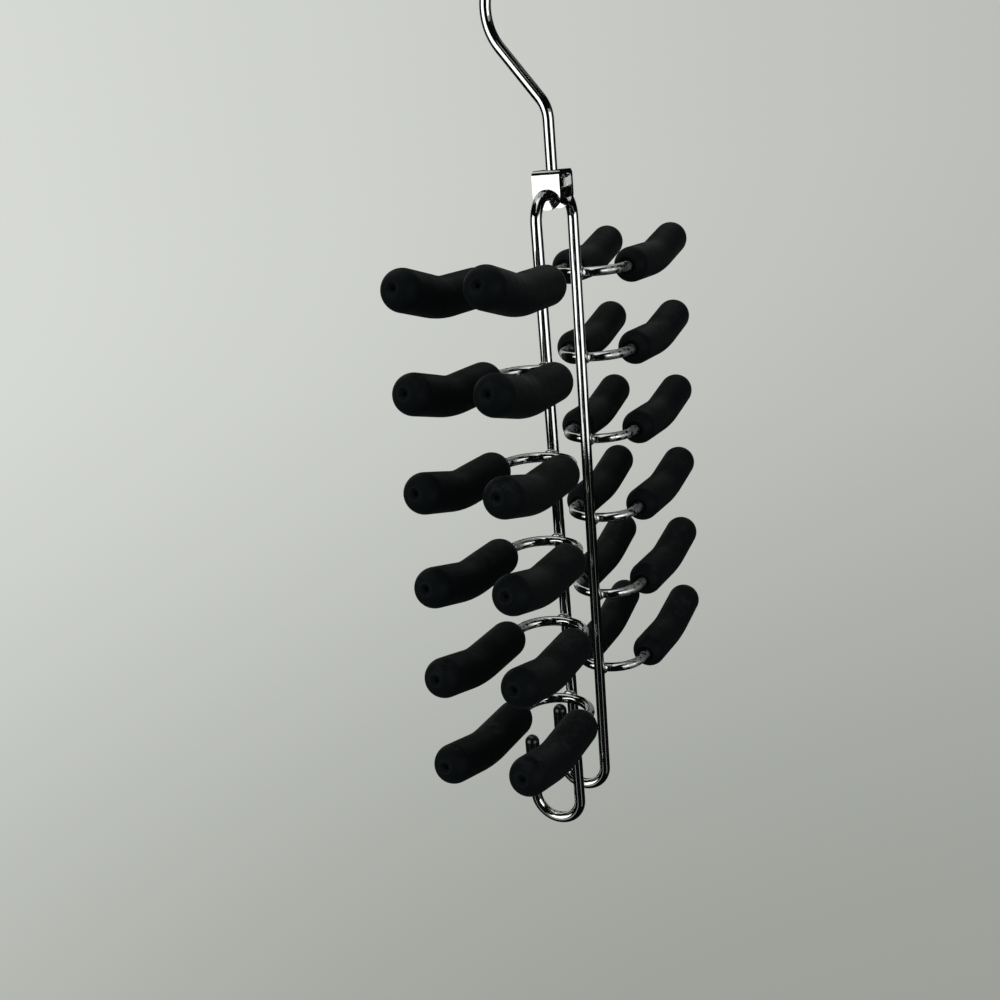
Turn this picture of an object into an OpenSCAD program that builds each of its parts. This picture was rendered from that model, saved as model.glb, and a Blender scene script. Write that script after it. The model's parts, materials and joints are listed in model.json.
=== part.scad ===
// Tie hanger: a swivel hook, a saddle bracket and a bent frame wire with six tiers of
// sleeved finger pairs on each side and a belt hook at the foot of each leg.
// Millimetres, +Z up. The origin is the centre of the rail that the crook hangs on.
// The fingers point along X and both belt hooks curl towards +Y.

/* [Hook] */
// Diameter of the hook rod
rod_d = 4; // [3:0.1:5]
// Inside diameter of the crook
crook_inner_d = 36; // [28:0.5:46]
// Angle of the sloping neck from the vertical
neck_angle = 38; // [30:1:50]
// Centre-line radius of the bend at the foot of the neck
neck_bend_r = 12; // [8:0.5:16]
// Straight rod above the bracket
shank_len = 16; // [8:0.5:30]
// How far the crook goes on past the horizontal at its open side, less than 0 if it stops short
crook_end_angle = -12; // [-30:1:30]
// Width of the rivet head's rim around the rod
rivet_rim = 1.5; // [1:0.1:2.5]
// Thickness of the rivet head
rivet_t = 2; // [1.2:0.1:3]

/* [Bracket] */
// Width of the sheet strip
bracket_w = 10; // [8:0.1:14]
// Thickness of the sheet
sheet_t = 1.5; // [1:0.1:2]
// Inside radius of the two folds
inner_fold_r = 0.5; // [0.2:0.1:0.9]
// Gap from the rivet head to the bracket's legs
head_side_gap = 1; // [1:0.1:3]
// Gap from the rivet head down to the frame wire
head_room = 2.4; // [1:0.1:6]

/* [Frame wire] */
// Diameter of the frame wire
wire_d = 4; // [3:0.1:5]
// Distance between the legs at the top, centre to centre
leg_spacing = 32; // [26:0.5:42]
// Side play of the frame wire's straight top in the bracket
side_play = 1; // [0.5:0.1:2]
// Lean of each leg towards the middle
leg_lean = 0.7; // [0:0.1:1.2]
// Length of leg from the lowest tier down to the bend of its belt hook
foot_len = 41.6; // [36:0.2:60]
// Width of a belt hook, centre to centre
belt_hook_w = 18; // [14:0.5:26]
// Straight rise of a belt hook beyond its bend
belt_hook_rise = 23; // [18:0.5:30]

/* [Fingers] */
// Number of tiers
tiers = 6; // [2:1:8]
// Diameter of the finger wires
finger_wire_d = 3.5; // [2.5:0.1:4.2]
// Distance between the two fingers of a pair, centre to centre
finger_spacing = 24.5; // [21:0.5:32]
// Depth of the first tier below the pivot line
first_tier = 26; // [22:0.5:32]
// Distance from tier to tier
tier_pitch = 30.6; // [24:0.1:40]
// How much lower the right-hand tiers are welded
right_drop = 2.4; // [0:0.1:4]
// How far a finger wire sinks into its leg at the weld
weld_sink = 0.5; // [0.2:0.05:0.8]
// Outward splay of each finger
splay = 1.3; // [0:0.1:3]
// Level run of a finger from the end of its ring to its curve
level_len = 26; // [20:0.5:30]
// Centre-line radius of a finger's upward curve
finger_curve_r = 50; // [35:1:80]
// Angle that a finger turns up through
finger_rise_angle = 14; // [8:1:18]

/* [Grips] */
// Diameter of a grip
grip_d = 13; // [10:0.1:15]
// Length of a grip along its curve
grip_len = 57; // [50:0.5:68]
// Gap from the end of the ring to the grip
grip_start = 2.3; // [0.5:0.1:6]
// Squeeze of the grip's bore on its wire, on the diameter
grip_squeeze = 0.1; // [0.05:0.05:0.3]
// Gap around the wire where it goes into the grip
mouth_gap = 1.25; // [0.5:0.05:1.6]
// Depth of the mouth
mouth_depth = 2.5; // [1:0.1:4]
// Diameter of the dimple in the outer end
dimple_d = 3.2; // [2.2:0.1:5]
// Depth of the dimple
dimple_depth = 1.3; // [0.5:0.1:2]
// Diameter of the small hole at the bottom of the dimple
pin_hole_d = 1.4; // [0.8:0.1:2]
// Rubber between the wire's end and the dimple
end_wall = 1.5; // [0.5:0.1:3]

/* [Belt hook tips] */
// Thickness of a tip cap around the wire
tip_wall = 0.7; // [0.5:0.05:1.2]
// Length of a tip cap
tip_len = 14; // [8:0.5:16]
// Rubber over the wire's end
tip_end_wall = 1.6; // [0.8:0.1:3]

/* [Fits] */
// Radial clearance of the rod and the frame wire in the bracket
running_clearance = 0.08; // [0.02:0.01:0.1]
// Gap between the rivet head and the plate above it
head_gap = 0.1; // [0.05:0.05:0.4]

/* [Hidden] */
$fn = 64;
cut_overrun = 0.2;
tip_squeeze = 0.1;
// A joint ball is this much larger in radius than the wire, so that two stretches join in it
joint_swell = 0.01;
seam_turn = 30;

rivet_d = rod_d + 2 * rivet_rim;
fold_r = inner_fold_r + sheet_t;
bracket_depth = rivet_d + 2 * (head_side_gap + sheet_t);
bracket_rise = sheet_t + head_gap + rivet_t + head_room + wire_d / 2;

crook_r = (crook_inner_d + rod_d) / 2;
crook_sweep = 180 + neck_angle + crook_end_angle;
neck_setback = neck_bend_r * tan(neck_angle / 2);
neck_len = crook_r * cos(neck_angle) / sin(neck_angle) - neck_setback;
plate_z = -(crook_r / sin(neck_angle) + neck_setback + shank_len);
plate_under_z = plate_z - sheet_t;
pivot_z = plate_z - bracket_rise;

leg_top_x = leg_spacing / 2;
run_half = bracket_depth / 2 + side_play;
top_bend_r = leg_top_x - run_half;
leg_drop = first_tier + (tiers - 1) * tier_pitch + right_drop + foot_len;
leg_len = (leg_drop - top_bend_r * (1 + sin(leg_lean))) / cos(leg_lean);
belt_hook_z = pivot_z - leg_drop;
belt_hook_r = belt_hook_w / 2;
tip_d = wire_d + 2 * tip_wall;

ring_r = finger_spacing / 2;
weld_offset = (wire_d + finger_wire_d) / 2 - weld_sink;
mouth_d = finger_wire_d + 2 * mouth_gap;
curve_len = finger_curve_r * finger_rise_angle * PI / 180;
grip_end = grip_start + grip_len;
wire_end = grip_end - dimple_depth - end_wall;

sides = ["left", "right"];
positions = ["front", "back"];
ring_nodes = [for (s = sides, t = [1:tiers]) str("finger_wire_", s, "_", t)];
grip_nodes = [for (s = sides, t = [1:tiers], p = positions) str("grip_", s, "_", t, "_", p)];
tip_nodes = [for (s = sides) str("belt_hook_tip_", s)];

chrome = [0.78, 0.79, 0.80];
soft_black = [0.06, 0.06, 0.065];

// Height of a tier's ring plane, counted from 1 at the top
function tier_z(side, tier) =
    pivot_z - first_tier - (tier - 1) * tier_pitch - (side == "right" ? right_drop : 0);

// Distance of a leg's centre line from the middle at a given height
function leg_x(z) = leg_top_x - (pivot_z - top_bend_r - z) * tan(leg_lean);

// Wire modules draw from the origin along +X, and put their children at their far end
module straight(len, d) {
    rotate([0, 90, 0])
        cylinder(h = len, d = d);
    translate([len, 0, 0])
        children();
}

// An arc that turns up towards +Z, with a joint ball at each end
module curve(radius, angle, d) {
    joint(d);
    translate([0, 0, radius])
        rotate([90, 0, 0])
            rotate([0, 0, -90])
                rotate_extrude(angle = angle)
                    translate([radius, 0])
                        circle(d = d);
    translate([radius * sin(angle), 0, radius * (1 - cos(angle))])
        rotate([0, -angle, 0]) {
            joint(d);
            children();
        }
}

// A ball whose poles lie on the wire's axis, turned so that its seam clears the wire's own
module joint(d) {
    rotate([0, 90, 0])
        rotate([0, 0, seam_turn])
            sphere(d = d + 2 * joint_swell);
}

module on_side(side) {
    mirror([side == "left" ? 1 : 0, 0, 0])
        children();
}

// Places what is drawn along +X on the axis of a finger, from the end of its ring
module at_finger(side, tier, back) {
    z = tier_z(side, tier);
    on_side(side)
        translate([leg_x(z) + weld_offset + ring_r, 0, z])
            mirror([0, back ? 0 : 1, 0])
                translate([-ring_r * sin(splay), ring_r * cos(splay), 0])
                    rotate([0, 0, splay])
                        children();
}

// A tube along a finger's path: level, then curving up, then straight to its end
module finger_path(start, end, d) {
    translate([start, 0, 0])
        straight(level_len - start, d)
            curve(finger_curve_r, finger_rise_angle, d)
                straight(end - level_len - curve_len, d)
                    children();
}

module swivel_hook() {
    rod_z = plate_under_z - head_gap - rivet_t / 2;
    color(chrome) {
        translate([0, 0, rod_z])
            rotate([0, -90, 0])
                straight(plate_z + shank_len - rod_z, rod_d)
                    rotate([-90, 0, 0])
                        curve(neck_bend_r, neck_angle, rod_d)
                            straight(neck_len, rod_d)
                                rotate([180, 0, 0])
                                    curve(crook_r, crook_sweep, rod_d);
        translate([0, 0, plate_under_z - head_gap])
            rivet_head();
    }
}

// The upset end of the rod, flat above and domed below
module rivet_head() {
    mirror([0, 0, 1])
        rotate_extrude()
            intersection() {
                square([rivet_d / 2, rivet_t]);
                translate([0, rivet_t - rivet_dome_r()])
                    circle(r = rivet_dome_r());
            }
}

// Radius of the dome that reaches the head's full width at its flat face
function rivet_dome_r() = (pow(rivet_d / 2, 2) + pow(rivet_t, 2)) / (2 * rivet_t);

module saddle_bracket() {
    hole_r = rod_d / 2 + running_clearance;
    pivot_hole_r = wire_d / 2 + running_clearance;
    leg_h = bracket_rise + bracket_w / 2;
    color(chrome)
        translate([0, 0, pivot_z])
            difference() {
                intersection() {
                    rotate([90, 0, 0])
                        linear_extrude(bracket_w, center = true)
                            saddle_profile(leg_h);
                    rotate([90, 0, 90])
                        linear_extrude(bracket_depth, center = true)
                            leg_outline();
                }
                translate([0, 0, bracket_rise - 2 * sheet_t])
                    cylinder(r = hole_r, h = 3 * sheet_t);
                rotate([0, 90, 0])
                    cylinder(r = pivot_hole_r, h = bracket_depth + 2, center = true);
            }
}

// The folded strip seen along Y, its top face at bracket_rise above the pivot line
module saddle_profile(leg_h) {
    inner_fold_r = fold_r - sheet_t;
    difference() {
        folded_square(bracket_depth, leg_h, fold_r);
        translate([0, -sheet_t])
            folded_square(bracket_depth - 2 * sheet_t, leg_h, inner_fold_r);
    }
}

module folded_square(width, height, radius) {
    translate([-width / 2, bracket_rise - height])
        square([width, height - radius]);
    translate([radius - width / 2, bracket_rise - radius])
        square([width - 2 * radius, radius]);
    for (x = [-1, 1])
        translate([x * (width / 2 - radius), bracket_rise - radius])
            circle(r = radius);
}

// A leg seen along X: straight sides and a full round foot about the pivot line
module leg_outline() {
    translate([-bracket_w / 2, 0])
        square([bracket_w, bracket_rise + 1]);
    circle(d = bracket_w);
}

module frame_wire() {
    color(chrome) {
        translate([-run_half, 0, pivot_z])
            straight(2 * run_half, wire_d);
        for (side = sides)
            on_side(side)
                translate([run_half, 0, pivot_z])
                    rotate([180, 0, 0])
                        curve(top_bend_r, 90 + leg_lean, wire_d)
                            straight(leg_len, wire_d)
                                rotate([90, 0, 0])
                                    curve(belt_hook_r, 180, wire_d)
                                        straight(belt_hook_rise, wire_d);
    }
}

// The foot of a leg, with children placed at the belt hook's wire end and pointing up
module at_belt_hook_end(side) {
    on_side(side)
        translate([leg_x(belt_hook_z), 0, belt_hook_z])
            rotate([0, leg_lean, 0])
                translate([0, belt_hook_w, belt_hook_rise])
                    rotate([0, -90, 0])
                        children();
}

module belt_hook_tip(side) {
    color(soft_black)
        at_belt_hook_end(side)
            difference() {
                translate([tip_end_wall - tip_len, 0, 0])
                    straight(tip_len - tip_d / 2, tip_d)
                        joint(tip_d);
                translate([-tip_len, 0, 0])
                    straight(tip_len, wire_d - tip_squeeze);
            }
}

module finger_wire(side, tier) {
    z = tier_z(side, tier);
    color(chrome) {
        on_side(side)
            translate([leg_x(z) + weld_offset + ring_r, 0, z])
                rotate([0, 0, 90 + splay])
                    rotate_extrude(angle = 180 - 2 * splay)
                        translate([ring_r, 0])
                            circle(d = finger_wire_d);
        for (back = [false, true])
            at_finger(side, tier, back) {
                joint(finger_wire_d);
                finger_path(0, wire_end, finger_wire_d);
            }
    }
}

module grip(side, tier, back) {
    color(soft_black)
        at_finger(side, tier, back)
            difference() {
                union() {
                    translate([grip_start + grip_d / 2, 0, 0])
                        joint(grip_d);
                    finger_path(grip_start + grip_d / 2, grip_end - grip_d / 2, grip_d)
                        joint(grip_d);
                }
                translate([grip_start - 1, 0, 0])
                    straight(mouth_depth + 1, mouth_d);
                finger_path(grip_start + cut_overrun, wire_end, finger_wire_d - grip_squeeze)
                    grip_end_hole();
            }
}

// The pin hole and the dimple beyond the end of the wire
module grip_end_hole() {
    translate([-cut_overrun, 0, 0])
        straight(end_wall + dimple_depth + 1, pin_hole_d);
    translate([end_wall, 0, 0])
        rotate([0, 90, 0])
            cylinder(h = dimple_depth + cut_overrun, d1 = pin_hole_d, d2 = dimple_d);
}

swivel_hook();
saddle_bracket();
frame_wire();
for (side = sides, tier = [1:tiers])
    finger_wire(side, tier);
for (side = sides, tier = [1:tiers], position = positions)
    grip(side, tier, position == "back");
for (side = sides)
    belt_hook_tip(side);
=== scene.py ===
# %% [markdown]
# The tie hanger, and the frame that it is built around
# The real object is a chromed wire rack that hangs on a closet rail: a swivel hook, a folded sheet
# bracket, one long bent wire with six tiers of paired fingers on each side, and soft black sleeves on
# the fingers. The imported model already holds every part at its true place, so this script starts from
# it and makes a finer, better finished piece for each part, in the same frame and in the same size.

# %% Load the frame
import json
import math

import bmesh
import bpy
import numpy as np
from mathutils import Matrix, Vector


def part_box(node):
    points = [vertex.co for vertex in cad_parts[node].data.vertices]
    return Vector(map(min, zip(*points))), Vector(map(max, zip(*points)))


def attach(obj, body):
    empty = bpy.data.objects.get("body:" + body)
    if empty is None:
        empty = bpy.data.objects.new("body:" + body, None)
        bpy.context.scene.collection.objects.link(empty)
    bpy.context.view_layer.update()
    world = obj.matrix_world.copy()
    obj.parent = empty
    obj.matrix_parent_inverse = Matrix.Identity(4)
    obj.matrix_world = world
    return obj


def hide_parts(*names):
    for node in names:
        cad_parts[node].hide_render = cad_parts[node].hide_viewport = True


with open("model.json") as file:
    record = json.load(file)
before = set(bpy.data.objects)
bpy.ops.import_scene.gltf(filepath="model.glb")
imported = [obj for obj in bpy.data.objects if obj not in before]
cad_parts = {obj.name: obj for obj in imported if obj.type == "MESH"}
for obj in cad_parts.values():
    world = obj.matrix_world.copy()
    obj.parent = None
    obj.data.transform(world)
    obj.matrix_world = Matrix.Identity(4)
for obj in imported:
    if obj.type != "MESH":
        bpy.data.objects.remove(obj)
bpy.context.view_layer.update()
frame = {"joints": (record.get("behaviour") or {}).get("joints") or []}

MM = 0.001
X, Y, Z = Vector((1, 0, 0)), Vector((0, 1, 0)), Vector((0, 0, 1))
joint_at = {joint["name"]: Vector(joint["pos_m"]) for joint in frame["joints"]}
PLATE_Z = joint_at["hook_swivel"].z
PIVOT_Z = joint_at["frame_swing"].z
print("bracket top at", round(PLATE_Z / MM, 2), "mm, pivot line at", round(PIVOT_Z / MM, 2), "mm")

# %% [markdown]
# The camera
# A photograph is matched best when the camera comes first, because every later comparison depends on
# it. This one stands about 0.4 m from the hanger, a little above its middle, and looks down at it by
# 16 degrees. The picture is tilted a little, as the photograph is, which the roll repeats.

# %% Place the camera
CAMERA_AT = Vector((-385.2, -164.9, -46.1)) * MM
LOOK_AZIMUTH = math.radians(26.83)
LOOK_DOWN = math.radians(16.04)
ROLL = math.radians(-4.85)
LENS_MM, SENSOR_MM = 43.2, 36.0

camera_data = bpy.data.cameras.new("camera")
camera_data.lens = LENS_MM
camera_data.sensor_width = SENSOR_MM
camera_data.clip_start, camera_data.clip_end = 0.01, 100
camera = bpy.data.objects.new("camera", camera_data)
bpy.context.scene.collection.objects.link(camera)
level_look = Vector((math.cos(LOOK_AZIMUTH), math.sin(LOOK_AZIMUTH), 0))
look = level_look * math.cos(LOOK_DOWN) - Z * math.sin(LOOK_DOWN)
level_turn = look.to_track_quat("-Z", "Y").to_matrix().to_4x4()
camera.matrix_world = Matrix.Translation(CAMERA_AT) @ level_turn @ Matrix.Rotation(ROLL, 4, "Z")
bpy.context.scene.camera = camera
print("camera looks along", [round(v, 3) for v in look])

# %% [markdown]
# Small helpers for materials and meshes
# Colours are given as sRGB hex values, but shaders compute with linear light, so one function converts
# them. Two more functions add a shader or geometry node together with its settings and links, which
# keeps each material down to a few readable lines.

# %% Helpers
def linear(hex_code):
    channels = [int(hex_code[i:i + 2], 16) / 255 for i in (1, 3, 5)]
    return [c / 12.92 if c <= 0.04045 else ((c + 0.055) / 1.055) ** 2.4 for c in channels] + [1.0]


def add(tree, kind, links=(), **settings):
    """Adds a node. A setting is an attribute of the node or the name of one of its inputs, and links are
    (input name or number, output socket) pairs."""
    node = tree.nodes.new(kind)
    for name, value in settings.items():
        if hasattr(node, name):
            setattr(node, name, value)
    for name, value in settings.items():
        socket = name.replace("_", " ")
        if not hasattr(node, name):
            node.inputs[socket].default_value = value
    for target, source in links:
        tree.links.new(source, node.inputs[target])
    return node


def new_material(name):
    material = bpy.data.materials.new(name)
    material.use_nodes = True
    tree = material.node_tree
    tree.nodes.clear()
    shader = add(tree, "ShaderNodeBsdfPrincipled")
    add(tree, "ShaderNodeOutputMaterial", [("Surface", shader.outputs[0])])
    return material, tree, shader


def ramp(tree, source, low, high, dark=(0, 0, 0, 1), bright=(1, 1, 1, 1)):
    """A colour ramp between two positions."""
    node = add(tree, "ShaderNodeValToRGB", [("Fac", source)])
    node.color_ramp.elements[0].position = low
    node.color_ramp.elements[1].position = high
    node.color_ramp.elements[0].color = dark
    node.color_ramp.elements[1].color = bright
    return node.outputs["Color"]


def noise(tree, place, size_mm, **settings):
    """Noise whose features are about size_mm across."""
    node = add(tree, "ShaderNodeTexNoise", [("Vector", place)], **settings)
    node.inputs["Scale"].default_value = 1 / (size_mm * MM)
    return node.outputs["Fac"]


def math_node(tree, operation, first, second=None):
    """One step of arithmetic. A value is a number or an output socket."""
    node = add(tree, "ShaderNodeMath", operation=operation)
    for socket, value in zip(node.inputs, (first, second)):
        if hasattr(value, "is_output"):
            tree.links.new(value, socket)
        elif value is not None:
            socket.default_value = value
    return node.outputs[0]


# %% [markdown]
# Chrome plating on drawn steel wire
# The wires are mild steel, drawn, bent, welded and then plated with bright nickel and chrome. The plating
# is a near perfect mirror, so the look comes from what it reflects. Two things keep it from looking
# computed: the wire was never quite straight, which makes the highlights wander, and fingers leave a
# thin film that scatters a little light. Both are noise on the object's own coordinates. The rings of
# the finger wires are dulled in patches where they were bent into fingers, as the photograph shows.

# %% Chrome materials
CHROME_TINT = linear("#cbcccb")
WAVE_MM, FILM_MM, PIT_MM, FROST_PATCH_MM = 22, 7, 0.5, 1.6
WAVE_HEIGHT, PIT_HEIGHT = 1.5 * MM, 0.1 * MM
# How far from Y = 0, on either side, the plating starts to be dull and where it is at its dullest
FROST_NEAR, FROST_FAR = 6.5 * MM, 10.5 * MM


def chrome_plating(name, clear_roughness, film_roughness, wave_strength, pit_strength, frost=0.0):
    """Frost is how rough the plating gets away from Y = 0, where a ring was bent into its fingers."""
    material, tree, shader = new_material(name)
    place = add(tree, "ShaderNodeTexCoord").outputs["Object"]
    film = noise(tree, place, FILM_MM, Detail=4.0, Roughness=0.6)
    waves = noise(tree, place, WAVE_MM, Detail=1.0)
    pits = noise(tree, place, PIT_MM, Detail=2.0)
    wave_bump = add(tree, "ShaderNodeBump", [("Height", waves)],
                    Strength=wave_strength, Distance=WAVE_HEIGHT)
    pit_bump = add(tree, "ShaderNodeBump", [("Height", pits), ("Normal", wave_bump.outputs[0])],
                   Strength=pit_strength, Distance=PIT_HEIGHT)
    rough = ramp(tree, film, 0.45, 0.75, (clear_roughness,) * 3 + (1,), (film_roughness,) * 3 + (1,))
    if frost > 0:
        across = add(tree, "ShaderNodeSeparateXYZ", [("Vector", place)]).outputs["Y"]
        worked = add(tree, "ShaderNodeMapRange", [("Value", math_node(tree, "ABSOLUTE", across))],
                     From_Min=FROST_NEAR, From_Max=FROST_FAR, To_Min=0.0, To_Max=frost).outputs[0]
        patches = ramp(tree, noise(tree, place, FROST_PATCH_MM, Detail=2.0), 0.34, 0.52)
        rough = math_node(tree, "MAXIMUM", rough, math_node(tree, "MULTIPLY", worked, patches))
    tree.links.new(rough, shader.inputs["Roughness"])
    tree.links.new(pit_bump.outputs[0], shader.inputs["Normal"])
    shader.inputs["Base Color"].default_value = CHROME_TINT
    shader.inputs["Metallic"].default_value = 1.0
    return material


WIRE_CHROME = chrome_plating("chrome_plated_wire", 0.03, 0.10, 0.10, 0.05)
HAIRPIN_CHROME = chrome_plating("chrome_plated_hairpin", 0.03, 0.10, 0.10, 0.05, 0.5)
SHEET_CHROME = chrome_plating("chrome_plated_stamping", 0.03, 0.13, 0.16, 0.10)
WELD_CHROME = chrome_plating("chrome_plated_weld", 0.22, 0.40, 0.20, 0.60)

# %% [markdown]
# Soft black sleeves and dipped tips
# The sleeves are moulded soft PVC, matte and a little tacky. Their upward faces are painted a lighter
# grey in patches, which stands partly for lint that ties rub onto them and partly for painted light
# falling on the top. The tips of the belt hooks are thin caps of the same stuff that came out of a
# polished mould: nearly black too, but glossy. A broad rough highlight with a weak sheen separates the
# first from the second.

# %% Rubber materials
# The second colour is a lighter grey painted on the sleeves' upward faces: partly dust, partly painted
# light falling on the top.
SLEEVE_BLACK, SLEEVE_TOP_DUST_AND_LIGHT = linear("#080c0e"), linear("#2b2e31")
TIP_BLACK = linear("#0a0a0b")
GRAIN_MM, SCUFF_MM, PATCH_MM, TIP_WAVE_MM = 0.45, 2.6, 16, 3.0
GRAIN_HEIGHT, TIP_WAVE_HEIGHT = 0.06 * MM, 0.2 * MM
RUBBER_IOR = 1.5


def matte_sleeve():
    material, tree, shader = new_material("matte_soft_pvc")
    coordinates = add(tree, "ShaderNodeTexCoord")
    place = coordinates.outputs["Object"]
    facing = add(tree, "ShaderNodeSeparateXYZ", [("Vector", coordinates.outputs["Normal"])])
    on_top = ramp(tree, facing.outputs["Z"], 0.35, 0.95)
    patches = ramp(tree, noise(tree, place, PATCH_MM, Detail=3.0), 0.46, 0.66)
    scuffs = ramp(tree, noise(tree, place, SCUFF_MM, Detail=6.0, Roughness=0.7), 0.42, 0.72)
    # Upward faces get the lighter grey in patches: partly dust, partly painted light on the top.
    dust_and_painted_light = math_node(tree, "MULTIPLY", math_node(tree, "MULTIPLY", on_top, patches), scuffs)
    colour = add(tree, "ShaderNodeMix", [("Factor", dust_and_painted_light)], data_type="RGBA")
    colour.inputs["A"].default_value = SLEEVE_BLACK
    colour.inputs["B"].default_value = SLEEVE_TOP_DUST_AND_LIGHT
    tree.links.new(colour.outputs["Result"], shader.inputs["Base Color"])
    rough = ramp(tree, scuffs, 0.0, 1.0, (0.52,) * 3 + (1,), (0.68,) * 3 + (1,))
    tree.links.new(rough, shader.inputs["Roughness"])
    grain = noise(tree, place, GRAIN_MM, Detail=3.0)
    bump = add(tree, "ShaderNodeBump", [("Height", grain)], Strength=0.25, Distance=GRAIN_HEIGHT)
    tree.links.new(bump.outputs[0], shader.inputs["Normal"])
    shader.inputs["IOR"].default_value = RUBBER_IOR
    shader.inputs["Specular IOR Level"].default_value = 0.05
    shader.inputs["Sheen Weight"].default_value = 0.02
    shader.inputs["Sheen Roughness"].default_value = 0.4
    return material


def glossy_tip():
    material, tree, shader = new_material("glossy_dipped_pvc")
    place = add(tree, "ShaderNodeTexCoord").outputs["Object"]
    waves = noise(tree, place, TIP_WAVE_MM, Detail=2.0)
    bump = add(tree, "ShaderNodeBump", [("Height", waves)], Strength=0.15, Distance=TIP_WAVE_HEIGHT)
    rough = ramp(tree, waves, 0.3, 0.8, (0.12,) * 3 + (1,), (0.24,) * 3 + (1,))
    tree.links.new(rough, shader.inputs["Roughness"])
    tree.links.new(bump.outputs[0], shader.inputs["Normal"])
    shader.inputs["Base Color"].default_value = TIP_BLACK
    shader.inputs["IOR"].default_value = RUBBER_IOR
    return material


SLEEVE_PVC = matte_sleeve()
TIP_PVC = glossy_tip()

# %% [markdown]
# A tree that grows wire along a path
# Every wire of the hanger is a round section swept along straight runs and bends, which is just what a
# wire bending machine makes. The path is drawn as a chain of points, and one Geometry Nodes tree turns
# it into a round wire. A point's swell narrows the wire, which is how a cut end gets its rounded tip.

# %% The wire tree
def new_tree(name, inputs):
    tree = bpy.data.node_groups.new(name, "GeometryNodeTree")
    tree.interface.new_socket("Geometry", in_out="INPUT", socket_type="NodeSocketGeometry")
    for label, kind in inputs:
        tree.interface.new_socket(label, in_out="INPUT", socket_type=kind)
    tree.interface.new_socket("Geometry", in_out="OUTPUT", socket_type="NodeSocketGeometry")
    source = add(tree, "NodeGroupInput")
    return tree, source.outputs


def end_tree(tree, geometry, material):
    smooth = add(tree, "GeometryNodeSetShadeSmooth", [("Geometry", geometry)])
    real = add(tree, "GeometryNodeRealizeInstances", [("Geometry", smooth.outputs[0])])
    painted = add(tree, "GeometryNodeSetMaterial", [("Geometry", real.outputs[0]), ("Material", material)])
    add(tree, "NodeGroupOutput", [("Geometry", painted.outputs[0])])


def wire_tree():
    tree, given = new_tree("round wire along a path", [
        ("Radius", "NodeSocketFloat"), ("Sides", "NodeSocketInt"), ("Material", "NodeSocketMaterial")])
    path = add(tree, "GeometryNodeMeshToCurve", [("Mesh", given["Geometry"])])
    swell = add(tree, "GeometryNodeInputNamedAttribute", data_type="FLOAT")
    swell.inputs["Name"].default_value = "swell"
    section = add(tree, "GeometryNodeCurvePrimitiveCircle", [
        ("Resolution", given["Sides"]), ("Radius", given["Radius"])], mode="RADIUS")
    wire = add(tree, "GeometryNodeCurveToMesh", [
        ("Curve", path.outputs[0]), ("Profile Curve", section.outputs["Curve"]),
        ("Scale", swell.outputs["Attribute"])])
    wire.inputs["Fill Caps"].default_value = True
    end_tree(tree, wire.outputs[0], given["Material"])
    return tree


WIRE_TREE = wire_tree()


def roughen(tree, geometry, size_mm, amount, links=(), **settings):
    """Pushes a surface in and out along its normals by noise with features of about size_mm."""
    lumps = add(tree, "ShaderNodeTexNoise", links, **settings)
    lumps.inputs["Scale"].default_value = 1 / (size_mm * MM)
    height = math_node(tree, "MULTIPLY", math_node(tree, "SUBTRACT", lumps.outputs["Fac"], 0.5), amount)
    normal = add(tree, "GeometryNodeInputNormal")
    push = add(tree, "ShaderNodeVectorMath", [(0, normal.outputs[0]), ("Scale", height)], operation="SCALE")
    moved = add(tree, "GeometryNodeSetPosition", [("Geometry", geometry), ("Offset", push.outputs[0])])
    return moved.outputs[0]


def grow(name, mesh, tree, **settings):
    """Runs a tree on a mesh and keeps the result as a plain mesh object."""
    source = bpy.data.objects.new(name + "_source", mesh)
    bpy.context.scene.collection.objects.link(source)
    modifier = source.modifiers.new("grow", "NODES")
    modifier.node_group = tree
    for item in tree.interface.items_tree:
        if item.in_out == "INPUT" and item.name.replace(" ", "_") in settings:
            modifier[item.identifier] = settings[item.name.replace(" ", "_")]
    evaluated = source.evaluated_get(bpy.context.evaluated_depsgraph_get())
    grown = bpy.data.meshes.new_from_object(evaluated)
    bpy.data.objects.remove(source)
    grown.name = name
    piece = bpy.data.objects.new(name, grown)
    bpy.context.scene.collection.objects.link(piece)
    return piece


# %% [markdown]
# Drawing a path like a bending machine
# A bending machine only knows two moves: feed the wire straight ahead, and bend it round a roller. The
# path class below has the same two moves, so each wire reads like its own bending instructions. Bends
# get a point every few degrees, which is fine enough for a smooth highlight.

# %% The path class
BEND_STEP = math.radians(3)
# A rounded end stops just short of a quarter turn, because there its last ring would have no size
END_TURN = math.radians(88)


class Path:
    def __init__(self, start, heading):
        self.points = [start]
        self.swell = [1.0]
        self.heading = heading

    def ahead(self, length):
        self.points.append(self.points[-1] + self.heading * length)
        self.swell.append(1.0)

    def bend(self, towards, radius, angle):
        start, heading = self.points[-1], self.heading
        steps = max(2, math.ceil(angle / BEND_STEP))
        for step in range(1, steps + 1):
            a = angle * step / steps
            self.points.append(start + radius * (math.sin(a) * heading + (1 - math.cos(a)) * towards))
            self.swell.append(1.0)
        self.heading = heading * math.cos(angle) + towards * math.sin(angle)

    def round_end(self, radius, steps=10):
        """Closes the end with half a ball, whose middle is the last point."""
        middle = self.points[-1]
        for step in range(1, steps + 1):
            a = END_TURN * step / steps
            self.points.append(middle + self.heading * radius * math.sin(a))
            self.swell.append(math.cos(a))

    def mesh(self, name):
        mesh = bpy.data.meshes.new(name)
        mesh.from_pydata(self.points, [(i, i + 1) for i in range(len(self.points) - 1)], [])
        mesh.attributes.new("swell", "FLOAT", "POINT").data.foreach_set("value", self.swell)
        return mesh


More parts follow.
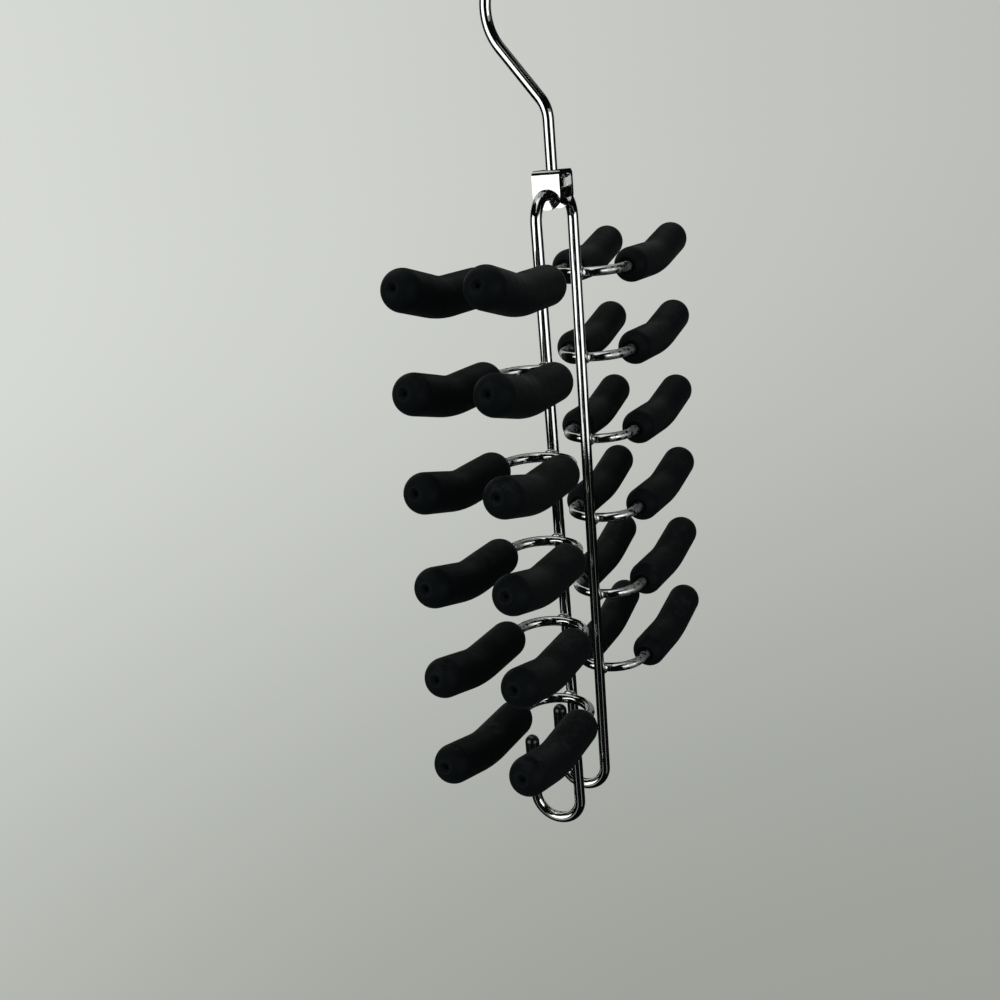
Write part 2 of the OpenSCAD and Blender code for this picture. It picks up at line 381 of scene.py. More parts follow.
def finish_piece(piece, body, slot, *nodes):
    """The piece moves with the body and stands for the CAD nodes, and its box is compared with theirs."""
    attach(piece, body)
    if nodes:
        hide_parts(*nodes)
        corners = np.array([v.co for v in piece.data.vertices])
        node_low = np.min([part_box(n)[0] for n in nodes], axis=0)
        node_high = np.max([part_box(n)[1] for n in nodes], axis=0)
        off = max(abs(corners.min(0) - node_low).max(), abs(corners.max(0) - node_high).max()) / MM
        count = len(piece.data.vertices)
        print(f"{piece.name}: {count} vertices, corners within {off:.2f} mm of the part's")
    return piece


# %% [markdown]
# The swivel hook
# The hook is one rod: a straight shank through the bracket, a bend into the sloping neck, and the crook
# that goes over the rail. Its lower end is upset into a low dome, so that it can't pull out. The rod is
# grown along its path, and the dome is a lathed profile joined to it, because it is the same metal.

# %% Build the swivel hook
ROD_R = 2.0 * MM
CROOK_R = 20.0 * MM
NECK_ANGLE = math.radians(38)
NECK_BEND_R = 12.0 * MM
SHANK_LEN = 16.0 * MM
CROOK_END = math.radians(-12)
SHEET_T = 1.5 * MM
HEAD_GAP = 0.1 * MM
RIVET_R, RIVET_T = 3.5 * MM, 2.0 * MM
RIM_ROUND = 0.06 * MM
DOME_STEPS = 14
WIRE_SIDES = 40
LATHE_SIDES = 72


def lathe(name, profile, sides=LATHE_SIDES):
    """Turns a profile of (along, radius) pairs about the X axis. A radius of 0 closes an end."""
    mesh = bmesh.new()
    rings = []
    for along, radius in profile:
        if radius == 0:
            rings.append([mesh.verts.new((along, 0, 0))])
            continue
        turn = [2 * math.pi * i / sides for i in range(sides)]
        rings.append([mesh.verts.new((along, radius * math.cos(a), radius * math.sin(a))) for a in turn])
    for first, second in zip(rings, rings[1:]):
        for i in range(sides):
            j = (i + 1) % sides
            a, b = first[i % len(first)], second[i % len(second)]
            c, d = second[j % len(second)], first[j % len(first)]
            mesh.faces.new(list(dict.fromkeys([a, b, c, d])))
    bmesh.ops.recalc_face_normals(mesh, faces=mesh.faces)
    data = bpy.data.meshes.new(name)
    mesh.to_mesh(data)
    mesh.free()
    return data


def arc_profile(middle, radius, start, end, steps):
    """Points of (along, radius) on an arc about (middle, 0), its angle counted from the -X direction."""
    angles = [start + (end - start) * i / steps for i in range(steps + 1)]
    return [(middle - radius * math.cos(a), radius * math.sin(a)) for a in angles]


def join(name, pieces):
    """Joins mesh objects into one, keeping their materials."""
    with bpy.context.temp_override(active_object=pieces[0], selected_editable_objects=pieces):
        bpy.ops.object.join()
    pieces[0].name = name
    return pieces[0]


def object_from(name, mesh, material, matrix=None):
    if matrix is not None:
        mesh.transform(matrix)
        if matrix.determinant() < 0:
            mesh.flip_normals()
    mesh.materials.clear()
    mesh.materials.append(material)
    mesh.shade_smooth()
    piece = bpy.data.objects.new(name, mesh)
    bpy.context.scene.collection.objects.link(piece)
    return piece


head_top = PLATE_Z - SHEET_T - HEAD_GAP
rod = Path(Vector((0, 0, head_top - RIVET_T / 2)), Z.copy())
rod.ahead(PLATE_Z + SHANK_LEN - rod.points[0].z)
rod.bend(Y, NECK_BEND_R, NECK_ANGLE)
rod.ahead(CROOK_R / math.tan(NECK_ANGLE) - NECK_BEND_R * math.tan(NECK_ANGLE / 2))
to_crook = Vector((0, -math.cos(NECK_ANGLE), math.sin(NECK_ANGLE)))
rod.bend(to_crook, CROOK_R, math.pi + NECK_ANGLE + CROOK_END)
rod.round_end(ROD_R)
rod_piece = grow("swivel_hook_rod", rod.mesh("rod"), WIRE_TREE, Radius=ROD_R, Sides=WIRE_SIDES,
                 Material=WIRE_CHROME)

dome_r = (RIVET_R ** 2 + RIVET_T ** 2) / (2 * RIVET_T)
rim = math.asin(RIVET_R / dome_r)
dome = arc_profile(dome_r - RIVET_T, dome_r, 0, rim, DOME_STEPS)[:-1]
dome += [(-RIM_ROUND, RIVET_R * 0.995), (0.0, RIVET_R * 0.97), (0.0, 0)]
dome_turn = Matrix.Translation((0, 0, head_top)) @ Matrix.Rotation(-math.pi / 2, 4, "Y")
rivet_head = object_from("rivet_head", lathe("rivet_head", dome), WIRE_CHROME, dome_turn)
hook = join("swivel_hook_chrome", [rod_piece, rivet_head])
finish_piece(hook, "hook", "chrome", "swivel_hook")

# %% [markdown]
# The frame wire
# The frame is one long wire. It crosses the bracket as a short straight run, turns down at each side in
# a wide bend, leans in a little on its way down, and turns up at its foot into a belt hook. Both halves
# are the same bends mirrored, so the path is drawn from the middle outwards and then read backwards.

# %% Build the frame wire
WIRE_R = 2.0 * MM
LEG_TOP_X = 16.0 * MM
TOP_BEND_R = 9.0 * MM
LEG_LEAN = math.radians(0.7)
FOOT_LEN = 41.6 * MM
BELT_HOOK_R = 9.0 * MM
BELT_HOOK_RISE = 23.0 * MM
TIERS, FIRST_TIER, TIER_PITCH, RIGHT_DROP = 6, 26.0 * MM, 30.6 * MM, 2.4 * MM
LEG_DROP = FIRST_TIER + (TIERS - 1) * TIER_PITCH + RIGHT_DROP + FOOT_LEN
BELT_HOOK_Z = PIVOT_Z - LEG_DROP


def leg_x(z):
    return LEG_TOP_X - (PIVOT_Z - TOP_BEND_R - z) * math.tan(LEG_LEAN)


def half_frame():
    half = Path(Vector((0, 0, PIVOT_Z)), X.copy())
    half.ahead(LEG_TOP_X - TOP_BEND_R)
    half.bend(-Z, TOP_BEND_R, math.pi / 2 + LEG_LEAN)
    half.ahead((LEG_DROP - TOP_BEND_R * (1 + math.sin(LEG_LEAN))) / math.cos(LEG_LEAN))
    half.bend(Y, BELT_HOOK_R, math.pi)
    half.ahead(BELT_HOOK_RISE)
    return half


whole = half_frame()
left_points = [Vector((-p.x, p.y, p.z)) for p in reversed(whole.points[1:])]
whole.points = left_points + whole.points
whole.swell = [1.0] * len(whole.points)
frame_wire = grow("frame_wire_chrome", whole.mesh("frame"), WIRE_TREE, Radius=WIRE_R, Sides=WIRE_SIDES,
                  Material=WIRE_CHROME)
finish_piece(frame_wire, "frame", "chrome", "frame_wire")

# %% [markdown]
# The finger wires
# Each tier has a hairpin of thinner wire on each side: half a ring against the leg, and two fingers that
# run level, turn up in a short bend and end inside the sleeves. Twelve of them are drawn by one function
# from the side and the tier, since only their places differ.

# %% Build the finger wires
FINGER_R = 1.75 * MM
RING_R = 12.25 * MM
WELD_SINK = 0.5 * MM
WELD_OFFSET = WIRE_R + FINGER_R - WELD_SINK
SPLAY = math.radians(1.3)
LEVEL_LEN = 26.0 * MM
FINGER_BEND_R = 50.0 * MM
FINGER_RISE = math.radians(14)
SLEEVE_START, SLEEVE_LEN = 2.3 * MM, 57.0 * MM
DIMPLE_DEPTH, END_WALL = 1.3 * MM, 1.5 * MM
SLEEVE_END = SLEEVE_START + SLEEVE_LEN
FINGER_END = SLEEVE_END - DIMPLE_DEPTH - END_WALL
BEND_LEN = FINGER_BEND_R * FINGER_RISE
SIDES = {"left": -1, "right": 1}
POSITIONS = {"front": -1, "back": 1}


def tier_z(side, tier):
    return PIVOT_Z - FIRST_TIER - (tier - 1) * TIER_PITCH - (RIGHT_DROP if side == "right" else 0)


def ring_centre(side, tier):
    z = tier_z(side, tier)
    return Vector((SIDES[side] * (leg_x(z) + WELD_OFFSET + RING_R), 0, z))


def half_hairpin():
    """Half a hairpin about its ring's centre, from the weld to the end of the back finger."""
    half = Path(Vector((-RING_R, 0, 0)), Y.copy())
    half.bend(X, RING_R, math.pi / 2 - SPLAY)
    half.ahead(LEVEL_LEN)
    half.bend(Z, FINGER_BEND_R, FINGER_RISE)
    half.ahead(FINGER_END - LEVEL_LEN - BEND_LEN)
    return half


def hairpin_mesh():
    pin = half_hairpin()
    front = [Vector((p.x, -p.y, p.z)) for p in reversed(pin.points[1:])]
    pin.points = front + pin.points
    pin.swell = [1.0] * len(pin.points)
    return pin.mesh("hairpin")


for side, sign in SIDES.items():
    for tier in range(1, TIERS + 1):
        label = f"finger_wire_{side}_{tier}"
        path_mesh = hairpin_mesh()
        path_mesh.transform(Matrix.Translation(ring_centre(side, tier)) @ Matrix.Diagonal((sign, 1, 1, 1)))
        hairpin = grow(label + "_chrome", path_mesh, WIRE_TREE, Radius=FINGER_R, Sides=WIRE_SIDES,
                       Material=HAIRPIN_CHROME)
        finish_piece(hairpin, "frame", "chrome", label)

# %% [markdown]
# Weld beads
# Each hairpin is resistance welded to its leg. The metal that squeezes out leaves a small uneven collar
# in the corner between the two wires, and the plating goes over it. One bead is made by a Geometry Nodes
# tree, which sets it on the twelve weld points and roughens it with noise.

# %% Build the weld beads
BEAD_SIZE = Vector((1.3, 2.9, 2.6)) * MM
BEAD_ROUGHNESS, BEAD_LUMP_MM = 0.24 * MM, 1.1


def bead_tree():
    tree, given = new_tree("weld beads on points", [
        ("Size", "NodeSocketVector"), ("Roughness", "NodeSocketFloat"), ("Material", "NodeSocketMaterial")])
    ball = add(tree, "GeometryNodeMeshIcoSphere")
    ball.inputs["Radius"].default_value = 1.0
    ball.inputs["Subdivisions"].default_value = 4
    beads = add(tree, "GeometryNodeInstanceOnPoints", [
        ("Points", given["Geometry"]), ("Instance", ball.outputs[0]), ("Scale", given["Size"])])
    real = add(tree, "GeometryNodeRealizeInstances", [("Geometry", beads.outputs[0])])
    rough = roughen(tree, real.outputs[0], BEAD_LUMP_MM, given["Roughness"], Detail=3.0)
    end_tree(tree, rough, given["Material"])
    return tree


weld_points = bpy.data.meshes.new("weld_points")
weld_places = [ring_centre(side, tier) - X * sign * (RING_R + FINGER_R - WELD_SINK / 2)
               for side, sign in SIDES.items() for tier in range(1, TIERS + 1)]
weld_points.from_pydata(weld_places, [], [])
welds = grow("weld_beads", weld_points, bead_tree(), Size=BEAD_SIZE, Roughness=BEAD_ROUGHNESS * 2,
             Material=WELD_CHROME)
finish_piece(welds, "frame", "chrome")

# %% [markdown]
# The saddle bracket
# The bracket is a strip of sheet steel, pierced with three holes, folded over a block into an upside-down
# U and plated. A bent strip is made here as its outline seen from the front, given its thickness, and cut
# to the round feet seen from the side. The cuts leave sharp edges, and a fine bevel turns them into the
# soft rolled edges that catch a line of light on real stampings.

# %% Build the saddle bracket
BRACKET_HALF_X, BRACKET_W = 6.0 * MM, 10.0 * MM
FOLD_R = 2.0 * MM
HOLE_R = 2.08 * MM
EDGE_BEVEL = 0.22 * MM
ROD_HOLE_REACH = 4 * MM
FOLD_STEPS = 10
CUT_SIDES = 96


def fold_outline(half_width, radius, top, foot):
    """Half of the strip's outline seen along Y, from the middle of the top to the foot at +X."""
    points = [(0.0, top)]
    for step in range(FOLD_STEPS + 1):
        a = math.pi / 2 * step / FOLD_STEPS
        points.append((half_width - radius + radius * math.sin(a), top - radius + radius * math.cos(a)))
    points.append((half_width, foot))
    return points


def prism(name, outline, low, high, axis):
    """A solid with the outline's points given as (across, up), between two planes on the axis x, y or z."""
    place = {
        "x": lambda a, b, c: (c, a, b),
        "y": lambda a, b, c: (a, c, b),
        "z": lambda a, b, c: (a, b, c),
    }[axis]
    mesh = bmesh.new()
    ends = [[mesh.verts.new(place(a, b, c)) for a, b in outline] for c in (low, high)]
    mesh.faces.new(ends[0])
    mesh.faces.new(list(reversed(ends[1])))
    for i in range(len(outline)):
        j = (i + 1) % len(outline)
        mesh.faces.new([ends[0][j], ends[0][i], ends[1][i], ends[1][j]])
    bmesh.ops.recalc_face_normals(mesh, faces=mesh.faces)
    data = bpy.data.meshes.new(name)
    mesh.to_mesh(data)
    mesh.free()
    piece = bpy.data.objects.new(name, data)
    bpy.context.scene.collection.objects.link(piece)
    return piece


def circle_outline(radius, across=0.0, up=0.0, sides=CUT_SIDES):
    turn = [2 * math.pi * i / sides for i in range(sides)]
    return [(across + radius * math.cos(a), up + radius * math.sin(a)) for a in turn]


def cut(piece, tool, operation):
    modifier = piece.modifiers.new("cut", "BOOLEAN")
    modifier.object = tool
    modifier.operation = operation
    modifier.solver = "EXACT"
    bake_modifiers(piece)
    bpy.data.objects.remove(tool)


def bake_modifiers(piece):
    evaluated = piece.evaluated_get(bpy.context.evaluated_depsgraph_get())
    baked = bpy.data.meshes.new_from_object(evaluated)
    piece.modifiers.clear()
    piece.data = baked


foot_z = PIVOT_Z - BRACKET_W / 2
outer = fold_outline(BRACKET_HALF_X, FOLD_R, PLATE_Z, foot_z - MM)
inner = fold_outline(BRACKET_HALF_X - SHEET_T, FOLD_R - SHEET_T, PLATE_Z - SHEET_T, foot_z - MM)
strip = [(-x, z) for x, z in reversed(outer[1:])] + outer + inner[::-1][:-1] + [(-x, z) for x, z in inner]
bracket = prism("saddle_bracket_chrome", strip, -BRACKET_W / 2, BRACKET_W / 2, "y")
half_turn = [math.pi + math.pi * i / (CUT_SIDES // 2) for i in range(CUT_SIDES // 2 + 1)]
side_view = [(BRACKET_W / 2 * math.cos(a), PIVOT_Z + BRACKET_W / 2 * math.sin(a)) for a in half_turn]
side_view += [(BRACKET_W / 2, PLATE_Z + MM), (-BRACKET_W / 2, PLATE_Z + MM)]
cut(bracket, prism("round_feet", side_view, -BRACKET_HALF_X - MM, BRACKET_HALF_X + MM, "x"), "INTERSECT")
cut(bracket, prism("rod_hole", circle_outline(HOLE_R), PLATE_Z - ROD_HOLE_REACH, PLATE_Z + MM, "z"),
    "DIFFERENCE")
pivot_hole = circle_outline(HOLE_R, 0, PIVOT_Z)
cut(bracket, prism("pivot_holes", pivot_hole, -2 * BRACKET_HALF_X, 2 * BRACKET_HALF_X, "x"), "DIFFERENCE")
bracket.data.materials.clear()
bracket.data.materials.append(SHEET_CHROME)
bevel = bracket.modifiers.new("rolled edges", "BEVEL")
bevel.width = EDGE_BEVEL
bevel.segments = 3
bevel.limit_method = "ANGLE"
bevel.angle_limit = math.radians(40)
bevel.harden_normals = True
bracket.data.shade_smooth()
bake_modifiers(bracket)
finish_piece(bracket, "bracket", "chrome", "saddle_bracket")

# %% [markdown]
# The soft sleeves
# A sleeve is moulded straight and round-ended, with a mouth at one end and a small dimple with a pin hole
# at the other, where the mould's core pin was held. It is pushed over the bent finger and follows it: the
# rubber on the inside of the bend is squeezed into a shallow crease. The sleeve is lathed straight, and a
# Geometry Nodes tree bends it along the finger, presses the crease in and adds the slight unevenness
# of soft moulding.

# %% The sleeve's profile
SLEEVE_R = 6.5 * MM
MOUTH_R, MOUTH_DEPTH = 3.0 * MM, 2.5 * MM
DIMPLE_R, PIN_HOLE_R = 1.6 * MM, 0.7 * MM
LIP_R = 0.5 * MM
BODY_STEPS, CAP_STEPS = 56, 18


def sleeve_profile():
    mouth_edge = math.asin((MOUTH_R + LIP_R) / SLEEVE_R)
    dimple_edge = math.asin((DIMPLE_R + LIP_R) / SLEEVE_R)
    near, far = SLEEVE_START + SLEEVE_R, SLEEVE_END - SLEEVE_R
    mouth_lip = near - SLEEVE_R * math.cos(mouth_edge) + LIP_R * math.cos(mouth_edge)
    dimple_lip = far + SLEEVE_R * math.cos(dimple_edge) - LIP_R * math.cos(dimple_edge)
    profile = [(SLEEVE_START + MOUTH_DEPTH, 0), (SLEEVE_START + MOUTH_DEPTH, MOUTH_R * 0.8),
               (SLEEVE_START + MOUTH_DEPTH - 0.3 * MM, MOUTH_R)]
    profile += [(mouth_lip + 0.6 * MM, MOUTH_R), (mouth_lip + 0.15 * MM, MOUTH_R * 1.01),
                (mouth_lip - 0.3 * MM, MOUTH_R * 1.07)]
    profile += arc_profile(near, SLEEVE_R, mouth_edge, math.pi / 2, CAP_STEPS)
    profile += [(near + (far - near) * i / BODY_STEPS, SLEEVE_R) for i in range(1, BODY_STEPS)]
    profile += arc_profile(far, SLEEVE_R, math.pi / 2, math.pi - dimple_edge, CAP_STEPS)
    dimple_floor = SLEEVE_END - DIMPLE_DEPTH
    profile += [(dimple_lip + 0.42 * MM, DIMPLE_R * 1.07), (dimple_lip + 0.2 * MM, DIMPLE_R * 0.97),
                (dimple_floor + 0.5 * MM, DIMPLE_R * 0.75), (dimple_floor + 0.12 * MM, DIMPLE_R * 0.56),
                (dimple_floor, PIN_HOLE_R * 1.12), (dimple_floor - 0.12 * MM, PIN_HOLE_R),
                (dimple_floor - END_WALL * 0.8, PIN_HOLE_R * 0.95), (dimple_floor - END_WALL * 0.8, 0)]
    return profile


# %% The tree that bends a sleeve
CREASE_DEPTH, CREASE_HALF_LEN = 0.16 * MM, 5.0 * MM
UNEVENNESS, LUMP_MM = 0.05 * MM, 14
SEED_STEP = 3.7


def sleeve_tree():
    tree, given = new_tree("sleeve bent along a finger", [
        ("Level Length", "NodeSocketFloat"), ("Bend Radius", "NodeSocketFloat"),
        ("Rise", "NodeSocketFloat"), ("Crease Depth", "NodeSocketFloat"),
        ("Crease Half Length", "NodeSocketFloat"), ("Unevenness", "NodeSocketFloat"),
        ("Seed", "NodeSocketFloat"), ("Material", "NodeSocketMaterial")])
    position = add(tree, "GeometryNodeInputPosition")
    split = add(tree, "ShaderNodeSeparateXYZ", [("Vector", position.outputs[0])])
    along, across, up = (split.outputs[i] for i in range(3))
    past_level = math_node(tree, "SUBTRACT", along, given["Level Length"])
    turned = math_node(tree, "DIVIDE", past_level, given["Bend Radius"])
    angle = math_node(tree, "MAXIMUM", math_node(tree, "MINIMUM", turned, given["Rise"]), 0.0)
    sine, cosine = math_node(tree, "SINE", angle), math_node(tree, "COSINE", angle)
    bend_length = math_node(tree, "MULTIPLY", given["Bend Radius"], given["Rise"])
    past_bend = math_node(tree, "MAXIMUM", math_node(tree, "SUBTRACT", past_level, bend_length), 0.0)
    level = math_node(tree, "MINIMUM", along, given["Level Length"])
    middle = math_node(tree, "ADD", given["Level Length"], math_node(tree, "MULTIPLY", bend_length, 0.5))
    from_middle = math_node(tree, "SUBTRACT", along, middle)
    from_middle = math_node(tree, "DIVIDE", from_middle, given["Crease Half Length"])
    square = math_node(tree, "POWER", from_middle, 2.0)
    bell = math_node(tree, "EXPONENT", math_node(tree, "MULTIPLY", square, -1.0))
    top_side = math_node(tree, "MAXIMUM", math_node(tree, "DIVIDE", up, SLEEVE_R), 0.0)
    crease = math_node(tree, "MULTIPLY", math_node(tree, "MULTIPLY", bell, top_side), given["Crease Depth"])
    creased_up = math_node(tree, "SUBTRACT", up, crease)
    bent_x = math_node(tree, "ADD", level, math_node(tree, "MULTIPLY", given["Bend Radius"], sine))
    bent_x = math_node(tree, "ADD", bent_x, math_node(tree, "MULTIPLY", past_bend, cosine))
    bent_x = math_node(tree, "SUBTRACT", bent_x, math_node(tree, "MULTIPLY", creased_up, sine))
    rise = math_node(tree, "MULTIPLY", given["Bend Radius"], math_node(tree, "SUBTRACT", 1.0, cosine))
    bent_z = math_node(tree, "ADD", rise, math_node(tree, "MULTIPLY", past_bend, sine))
    bent_z = math_node(tree, "ADD", bent_z, math_node(tree, "MULTIPLY", creased_up, cosine))
    bent = add(tree, "ShaderNodeCombineXYZ", [("X", bent_x), ("Y", across), ("Z", bent_z)])
    moved = add(tree, "GeometryNodeSetPosition", [
        ("Geometry", given["Geometry"]), ("Position", bent.outputs[0])])
    uneven = roughen(tree, moved.outputs[0], LUMP_MM, given["Unevenness"], [("W", given["Seed"])],
                     noise_dimensions="4D", Detail=1.0)
    end_tree(tree, uneven, given["Material"])
    return tree


SLEEVE_TREE = sleeve_tree()

# %% Build the sleeves
straight_sleeve = lathe("straight_sleeve", sleeve_profile())
print("one sleeve has", len(straight_sleeve.vertices), "vertices")


def finger_place(side, tier, position):
    """Puts what lies along +X on a finger's axis, from the end of its ring."""
    mirror = Matrix.Diagonal((SIDES[side], POSITIONS[position], 1, 1))
    ring_end = Vector((-RING_R * math.sin(SPLAY), RING_R * math.cos(SPLAY), 0))
    turn = Matrix.Rotation(SPLAY, 4, "Z")
    return Matrix.Translation(ring_centre(side, tier)) @ mirror @ Matrix.Translation(ring_end) @ turn


seed = 0
for side in SIDES:
    for tier in range(1, TIERS + 1):
        for position in POSITIONS:
            label = f"grip_{side}_{tier}_{position}"
            sleeve = grow(label + "_sleeve", straight_sleeve.copy(), SLEEVE_TREE, Level_Length=LEVEL_LEN,
                          Bend_Radius=FINGER_BEND_R, Rise=FINGER_RISE, Crease_Depth=CREASE_DEPTH,
                          Crease_Half_Length=CREASE_HALF_LEN, Unevenness=2 * UNEVENNESS,
                          Seed=seed * SEED_STEP, Material=SLEEVE_PVC)
            seed += 1
            place = finger_place(side, tier, position)
            sleeve.data.transform(place)
            if place.determinant() < 0:
                sleeve.data.flip_normals()
            finish_piece(sleeve, "frame", "soft_black", label)

# %% [markdown]
# The belt hook tips
# The two belt hooks end in thin caps, dipped or moulded over the wire, so that a buckle isn't scratched.
# A cap is a lathed profile with a rounded end and a soft lip where it lets the wire in.

# %% Build the tips
TIP_R, TIP_LEN, TIP_END_WALL = 2.7 * MM, 14.0 * MM, 1.6 * MM
LIP_LEN = 0.4 * MM
TIP_SIDES, TIP_STEPS = 48, 12


def tip_profile():
    middle = TIP_END_WALL - TIP_R
    start = TIP_END_WALL - TIP_LEN
    profile = [(start + 1.2 * MM, WIRE_R * 0.98), (start + 0.1 * MM, WIRE_R * 1.02)]
    profile += [(start, WIRE_R + 0.18 * MM), (start, TIP_R - 0.3 * MM)]
    profile += [(start + 0.1 * MM, TIP_R - 0.08 * MM)]
    body_start = start + LIP_LEN
    profile += [(body_start + (middle - body_start) * i / TIP_STEPS, TIP_R) for i in range(TIP_STEPS)]
    profile += arc_profile(middle, TIP_R, math.pi / 2, math.pi, CAP_STEPS)[:-1]
    return profile + [(TIP_END_WALL, 0)]


for side, sign in SIDES.items():
    to_hook = Matrix.Translation((sign * leg_x(BELT_HOOK_Z), 0, BELT_HOOK_Z))
    lean = Matrix.Rotation(sign * LEG_LEAN, 4, "Y")
    to_end = Matrix.Translation((0, 2 * BELT_HOOK_R, BELT_HOOK_RISE))
    upright = Matrix.Rotation(-math.pi / 2, 4, "Y")
    tip = object_from(f"belt_hook_tip_{side}_cap", lathe("tip", tip_profile(), TIP_SIDES), TIP_PVC,
                      to_hook @ lean @ to_end @ upright)
    finish_piece(tip, "frame", "soft_black", f"belt_hook_tip_{side}")

# %% [markdown]
# Floor, cards and lamps
# Chrome shows the studio more than itself. In the photograph each wire has a black middle, a white line
# on either side of it, and black again before its edge: two broad bright windows in front, and darkness
# between and beside them. Here two soft boxes stand for the windows. Black cards stand behind the camera,
# behind the object, at both sides and over the boxes, and a large one lies below. Two grey strips just
# over that one draw the thin streaks down the legs. The camera sees none of them. The wall's brightness
# falls from left to right, as in the photograph, and the floor fades into the wall with distance.

# %% Stage
FLOOR_Z = -0.75
FLOOR_HALF = 30.0
MIDDLE = Vector((0, 0, -0.14))
BACKDROP = linear("#cdd0cb")
# Where the floor is halfway into the wall's colour, in metres, and how the wall's brightness runs sideways
FLOOR_FADE = 1.0
SIDE_LEVEL, SIDE_SLOPE = 0.97, -0.38
camera_side = math.atan2(-look.y, -look.x)


def around(angle_deg, distance, z):
    """A place at an angle from the camera's direction, seen from the object, to the right if positive."""
    a = camera_side + math.radians(angle_deg)
    return Vector((MIDDLE.x + distance * math.cos(a), MIDDLE.y + distance * math.sin(a), z))


def facing_middle(at):
    return (MIDDLE - at).to_track_quat("-Z", "Y").to_matrix().to_4x4()


def flat_piece(name, width, height, material, matrix):
    corners = [(x * width / 2, y * height / 2, 0) for x, y in ((-1, -1), (1, -1), (1, 1), (-1, 1))]
    mesh = bpy.data.meshes.new(name)
    mesh.from_pydata(corners, [], [(0, 1, 2, 3)])
    mesh.transform(matrix)
    mesh.materials.append(material)
    piece = bpy.data.objects.new(name, mesh)
    bpy.context.scene.collection.objects.link(piece)
    return piece


def side_light(tree, direction):
    """How bright the wall is towards a direction: the room is lighter on the left of the photograph."""
    flat = add(tree, "ShaderNodeVectorMath", [(0, direction)], operation="MULTIPLY")
    flat.inputs[1].default_value = (1, 1, 0)
    unit = add(tree, "ShaderNodeVectorMath", [(0, flat.outputs[0])], operation="NORMALIZE")
    across = add(tree, "ShaderNodeVectorMath", [(0, unit.outputs[0])], operation="DOT_PRODUCT")
    across.inputs[1].default_value = (-math.sin(camera_side), math.cos(camera_side), 0)
    slope = math_node(tree, "MULTIPLY", across.outputs["Value"], SIDE_SLOPE)
    return math_node(tree, "ADD", slope, SIDE_LEVEL)


def floor_paint():
    material, tree, shader = new_material("pale_floor")
    shader.inputs["Base Color"].default_value = linear("#abada8")
    shader.inputs["Roughness"].default_value = 0.9
    place = add(tree, "ShaderNodeTexCoord").outputs["Object"]
    level = add(tree, "ShaderNodeVectorMath", [(0, place)], operation="MULTIPLY")
    level.inputs[1].default_value = (1, 1, 0)
    distance = add(tree, "ShaderNodeVectorMath", [(0, level.outputs[0])], operation="LENGTH")
    square = math_node(tree, "POWER", distance.outputs["Value"], 2)
    far = math_node(tree, "DIVIDE", square, math_node(tree, "ADD", square, FLOOR_FADE ** 2))
    glow = add(tree, "ShaderNodeEmission", [("Strength", side_light(tree, place))], Color=BACKDROP)
    fade = add(tree, "ShaderNodeMixShader", [("Fac", far), (1, shader.outputs[0]), (2, glow.outputs[0])])
    output = next(n for n in tree.nodes if n.type == "OUTPUT_MATERIAL")
    tree.links.new(fade.outputs[0], output.inputs["Surface"])
    return material


def black_card_paint():
    material, _, shader = new_material("black_card")
    shader.inputs["Base Color"].default_value = linear("#0c0c0d")
    shader.inputs["Roughness"].default_value = 1.0
    shader.inputs["Specular IOR Level"].default_value = 0.0
    return material


def grey_strip_paint():
    """Grey strips low on the floor, which the metal shows as thin streaks down its legs."""
    material, _, shader = new_material("grey_strip")
    shader.inputs["Base Color"].default_value = (0, 0, 0, 1)
    shader.inputs["Emission Color"].default_value = linear("#c9cbc6")
    shader.inputs["Emission Strength"].default_value = 0.5
    return material


flat_piece("floor", 2 * FLOOR_HALF, 2 * FLOOR_HALF, floor_paint(), Matrix.Translation((0, 0, FLOOR_Z)))
CARD_PAINT = black_card_paint()
STRIP_PAINT = grey_strip_paint()
# Angle in degrees, distance, width and height in metres
CARDS = {
    "card_behind_camera": (-5, 1.9, 2.0, 2.6),
    "card_left": (-115, 1.3, 1.5, 2.4),
    "card_right": (112, 1.3, 1.5, 2.4),
    "card_far_side": (180, 1.5, 0.7, 2.4),
}
# Angle, distance, height of the middle, width and height
HIGH_CARDS = {
    "card_above_left": (-56, 1.0, 1.0, 1.8, 1.3),
    "card_above_right": (46, 1.0, 1.0, 1.8, 1.3),
}
CARD_Z = 0.15
LOW_CARD_HALF, LOW_CARD_Z = 2.6, -0.68
LOW_STRIPS = {"low_strip_left": -52, "low_strip_right": 38}
LOW_STRIP_DISTANCE, LOW_STRIP_LEN, LOW_STRIP_W = 1.4, 2.0, 0.10
LOW_STRIP_LIFT = 10 * MM


def hide_card(card):
    """The metal sees the card, but the camera doesn't, and it takes no light from the rest."""
    card.visible_camera = False
    card.visible_diffuse = False
    card.visible_shadow = False


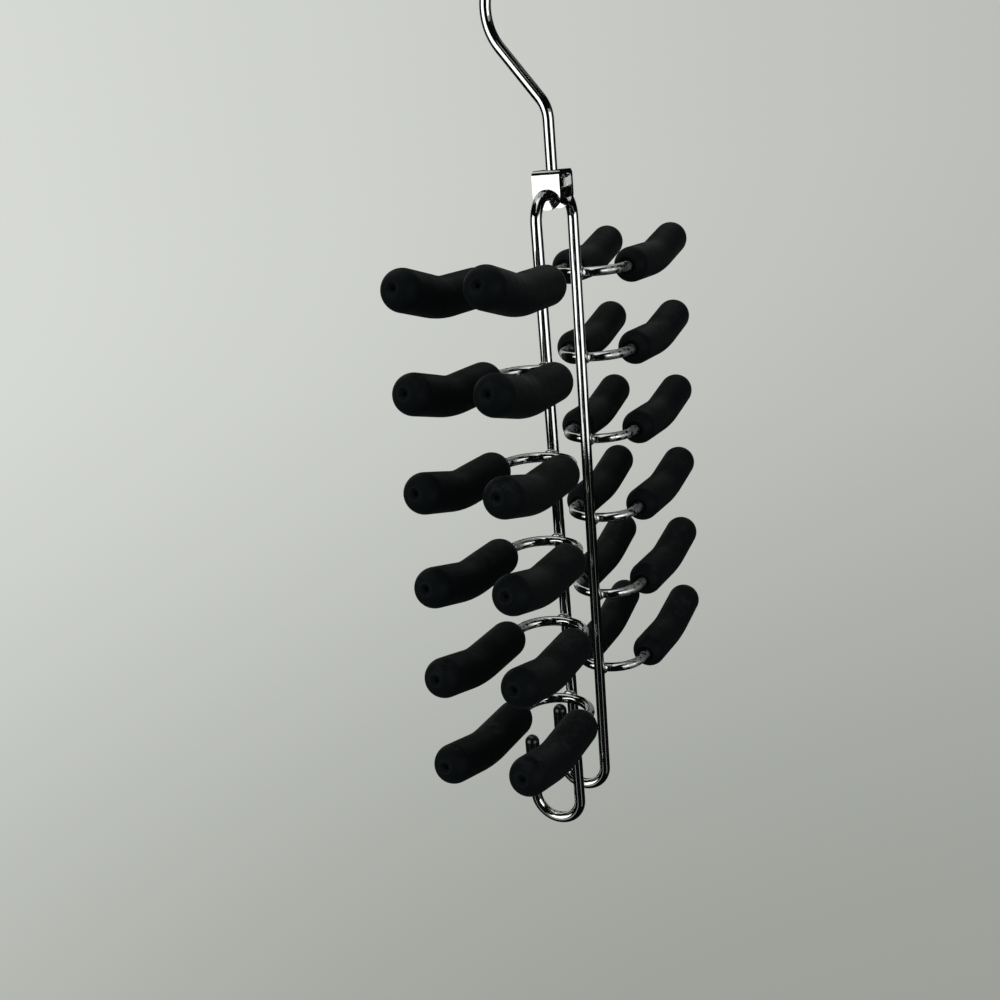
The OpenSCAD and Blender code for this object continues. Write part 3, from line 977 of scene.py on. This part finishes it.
for name, (angle, distance, width, height) in CARDS.items():
    at = around(angle, distance, CARD_Z)
    upright = (Vector((MIDDLE.x, MIDDLE.y, at.z)) - at).to_track_quat("-Z", "Y").to_matrix().to_4x4()
    hide_card(flat_piece(name, width, height, CARD_PAINT, Matrix.Translation(at) @ upright))
for name, (angle, distance, z, width, height) in HIGH_CARDS.items():
    at = around(angle, distance, z)
    hide_card(flat_piece(name, width, height, CARD_PAINT, Matrix.Translation(at) @ facing_middle(at)))
for name, angle in LOW_STRIPS.items():
    at = around(angle, LOW_STRIP_DISTANCE, LOW_CARD_Z + LOW_STRIP_LIFT)
    turn = Matrix.Rotation(camera_side + math.radians(angle), 4, "Z")
    hide_card(flat_piece(name, LOW_STRIP_LEN, LOW_STRIP_W, STRIP_PAINT, Matrix.Translation(at) @ turn))
low_card_at = Matrix.Translation((0, 0, LOW_CARD_Z))
hide_card(flat_piece("card_below", 2 * LOW_CARD_HALF, 2 * LOW_CARD_HALF, CARD_PAINT, low_card_at))

# %% Lamps and world
# Angle, distance, height of the middle, width and height in metres, and power in watts
LAMPS = {
    "soft_box_left": (-57, 1.35, 0.05, 1.05, 1.1, 5.3),
    "soft_box_right": (46, 1.35, -0.08, 1.05, 0.85, 4.4),
    "soft_box_top": (20, 0.5, 1.35, 1.2, 1.2, 3.5),
}
for name, (angle, distance, z, width, height, power) in LAMPS.items():
    data = bpy.data.lights.new(name, "AREA")
    data.shape = "RECTANGLE"
    data.size, data.size_y, data.energy = width, height, power
    lamp = bpy.data.objects.new(name, data)
    bpy.context.scene.collection.objects.link(lamp)
    at = around(angle, distance, z)
    lamp.matrix_world = Matrix.Translation(at) @ facing_middle(at)
    lamp.visible_camera = False

world = bpy.data.worlds.new("pale room")
world.use_nodes = True
world_tree = world.node_tree
background = world_tree.nodes["Background"]
background.inputs["Color"].default_value = BACKDROP
seen = add(world_tree, "ShaderNodeTexCoord").outputs["Generated"]
world_tree.links.new(side_light(world_tree, seen), background.inputs["Strength"])
bpy.context.scene.world = world
bpy.context.scene.view_settings.view_transform = "Standard"
